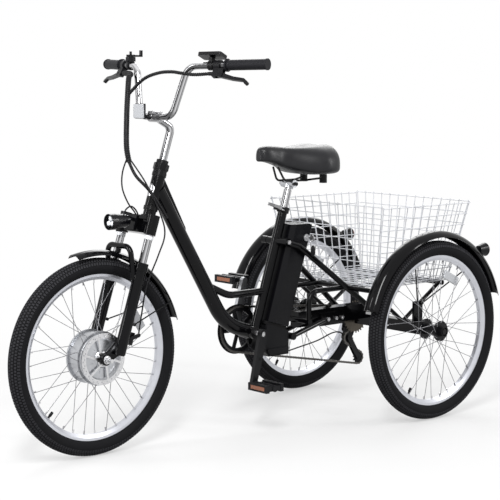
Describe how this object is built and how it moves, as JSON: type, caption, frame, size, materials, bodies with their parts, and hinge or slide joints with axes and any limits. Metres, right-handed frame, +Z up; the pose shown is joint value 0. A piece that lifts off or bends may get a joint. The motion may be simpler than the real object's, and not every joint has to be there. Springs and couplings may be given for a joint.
{
  "type": "adult tricycle",
  "caption": "Step-through electric adult tricycle with a sprung fork, hub motor, chain drive, padded saddle, frame battery and a wire basket between the rear wheels.",
  "frame": {"origin": "ground point under the middle of the bounding box", "axes": "+X forward, +Y to the rider's left, +Z up"},
  "size_m": [1.8097, 0.806, 1.2432],
  "materials": {
    "frame_paint": "satin black paint",
    "bright_steel": "zinc plated",
    "chrome": "polished",
    "alloy": "polished alloy",
    "tyre": "matte rubber",
    "black_alloy": "satin black anodised",
    "black_plastic": "matte",
    "gloss_black": "gloss",
    "red_lamp": "red lens in a dark housing",
    "white_wire": "white coated wire",
    "chain_steel": "oiled steel",
    "cable": "matte sleeve",
    "grip_rubber": "ribbed rubber",
    "saddle_cover": "black vinyl cover",
    "copper_steel": "brown steel"
  },
  "bodies": {
    "frame": {"main_frame": "frame_paint", "rear_frame": "frame_paint", "basket_carrier": "frame_paint", "frame_bolts": "bright_steel", "bearings": "bright_steel", "seat_clamp": "black_alloy", "battery_rail": "black_alloy", "controller_box": "black_plastic", "rear_fenders": "frame_paint", "tail_lamps": "red_lamp", "basket": "white_wire", "derailleur": "black_alloy", "chain": "chain_steel", "shift_cable": "cable"},
    "crankset": {"crank_spindle": "bright_steel", "chainring": "black_alloy", "crank_arms": "black_alloy"},
    "pedal_left": {"pedal_left": "black_plastic"},
    "pedal_right": {"pedal_right": "black_plastic"},
    "freewheel": {"freewheel": "copper_steel"},
    "jockey_upper": {"jockey_upper": "black_plastic"},
    "jockey_lower": {"jockey_lower": "black_plastic"},
    "wheel_left": {"tyre_left": "tyre", "rim_left": "alloy", "spokes_left": "bright_steel", "hub_left": "black_alloy", "axle_left": "bright_steel"},
    "wheel_right": {"tyre_right": "tyre", "rim_right": "alloy", "spokes_right": "bright_steel", "hub_right": "black_alloy", "drive_axle": "bright_steel"},
    "steering": {"fork_crown": "frame_paint", "headset_nut": "black_alloy", "stem": "chrome", "handlebar": "chrome", "grips": "grip_rubber", "display": "black_plastic", "bar_perches": "black_plastic", "headlight": "black_plastic", "cable_loom": "cable", "front_brake_cable": "cable"},
    "fork_lower": {"fork_lowers": "frame_paint", "front_fender": "frame_paint", "brake_caliper": "black_alloy", "front_axle": "bright_steel"},
    "wheel_front": {"tyre_front": "tyre", "rim_front": "alloy", "spokes_front": "bright_steel", "hub_motor": "alloy", "brake_rotor": "bright_steel"},
    "brake_lever_left": {"brake_lever_left": "black_alloy"},
    "brake_lever_right": {"brake_lever_right": "black_alloy"},
    "thumb_shifter": {"thumb_shifter": "black_plastic"},
    "saddle": {"seatpost": "chrome", "saddle_frame": "frame_paint", "saddle_cushion": "saddle_cover"},
    "battery": {"battery_case": "gloss_black"},
    "battery_lock": {"battery_lock": "bright_steel"},
    "quick_release": {"quick_release_lever": "chrome"}
  },
  "joints": [
    {"name": "steering", "type": "hinge", "parent": "frame", "child": "steering", "pos_m": [0.36363, 0, 0.80234], "axis": [-0.309, 0, 0.9511], "range_deg": [-45, 45], "deforming": ["cable_loom"]},
    {"name": "fork_slide", "type": "slide", "parent": "steering", "child": "fork_lower", "axis": [-0.309, 0, 0.9511], "range_m": [0, 0.035], "stiffness_N_per_m": 6000, "springref_m": -0.03, "deforming": ["front_brake_cable"]},
    {"name": "front_wheel_spin", "type": "hinge", "parent": "fork_lower", "child": "wheel_front", "pos_m": [0.59988, 0, 0.305], "axis": [0, 1, 0], "continuous": true},
    {"name": "left_wheel_spin", "type": "hinge", "parent": "frame", "child": "wheel_left", "pos_m": [-0.58012, 0.332, 0.305], "axis": [0, 1, 0], "continuous": true},
    {"name": "right_wheel_spin", "type": "hinge", "parent": "frame", "child": "wheel_right", "pos_m": [-0.58012, -0.332, 0.305], "axis": [0, 1, 0], "continuous": true},
    {"name": "crank_spin", "type": "hinge", "parent": "frame", "child": "crankset", "pos_m": [-0.03112, 0, 0.316], "axis": [0, 1, 0], "continuous": true},
    {"name": "pedal_left_spin", "type": "hinge", "parent": "crankset", "child": "pedal_left", "pos_m": [0.00904, 0.13, 0.15493], "axis": [0, 1, 0], "continuous": true},
    {"name": "pedal_right_spin", "type": "hinge", "parent": "crankset", "child": "pedal_right", "pos_m": [-0.07128, -0.13, 0.47707], "axis": [0, 1, 0], "continuous": true},
    {"name": "freewheel_spin", "type": "hinge", "parent": "frame", "child": "freewheel", "pos_m": [-0.58012, -0.052, 0.305], "axis": [0, 1, 0], "continuous": true},
    {"name": "jockey_upper_spin", "type": "hinge", "parent": "frame", "child": "jockey_upper", "pos_m": [-0.55812, -0.052, 0.23], "axis": [0, 1, 0], "continuous": true},
    {"name": "jockey_lower_spin", "type": "hinge", "parent": "frame", "child": "jockey_lower", "pos_m": [-0.60812, -0.052, 0.152], "axis": [0, 1, 0], "continuous": true},
    {"name": "saddle_height", "type": "slide", "parent": "frame", "child": "saddle", "axis": [-0.3007, 0, 0.9537], "range_m": [-0.05, 0.08]},
    {"name": "battery_slide", "type": "slide", "parent": "frame", "child": "battery", "axis": [-0.3007, 0, 0.9537], "range_m": [0, 0.08]},
    {"name": "battery_lock_turn", "type": "hinge", "parent": "battery", "child": "battery_lock", "pos_m": [-0.25512, 0.039, 0.61921], "axis": [0, 1, 0], "range_deg": [0, 90]},
    {"name": "quick_release_swing", "type": "hinge", "parent": "frame", "child": "quick_release", "pos_m": [-0.16077, 0.024, 0.72236], "axis": [-0.3007, 0, 0.9537], "range_deg": [0, 140]},
    {"name": "brake_left_pull", "type": "hinge", "parent": "steering", "child": "brake_lever_left", "pos_m": [0.31248, 0.24823, 1.16709], "axis": [0.846, 0.2529, 0.4694], "range_deg": [0, 14], "stiffness_Nm_per_rad": 1.2, "springref_deg": -17.19},
    {"name": "brake_right_pull", "type": "hinge", "parent": "steering", "child": "brake_lever_right", "pos_m": [0.31248, -0.24823, 1.16709], "axis": [-0.846, 0.2529, -0.4694], "range_deg": [0, 14], "stiffness_Nm_per_rad": 1.2, "springref_deg": -17.19},
    {"name": "thumb_shift", "type": "hinge", "parent": "steering", "child": "thumb_shifter", "pos_m": [0.31605, -0.18622, 1.22517], "axis": [-0.0064, -0.0206, -0.9998], "range_deg": [-30, 30]}
  ],
  "couplings": [
    {"joint": "freewheel_spin", "follows": "crank_spin", "ratio": 1.9},
    {"joint": "jockey_upper_spin", "follows": "crank_spin", "ratio": -3.4545},
    {"joint": "jockey_lower_spin", "follows": "crank_spin", "ratio": 3.4545}
  ]
}
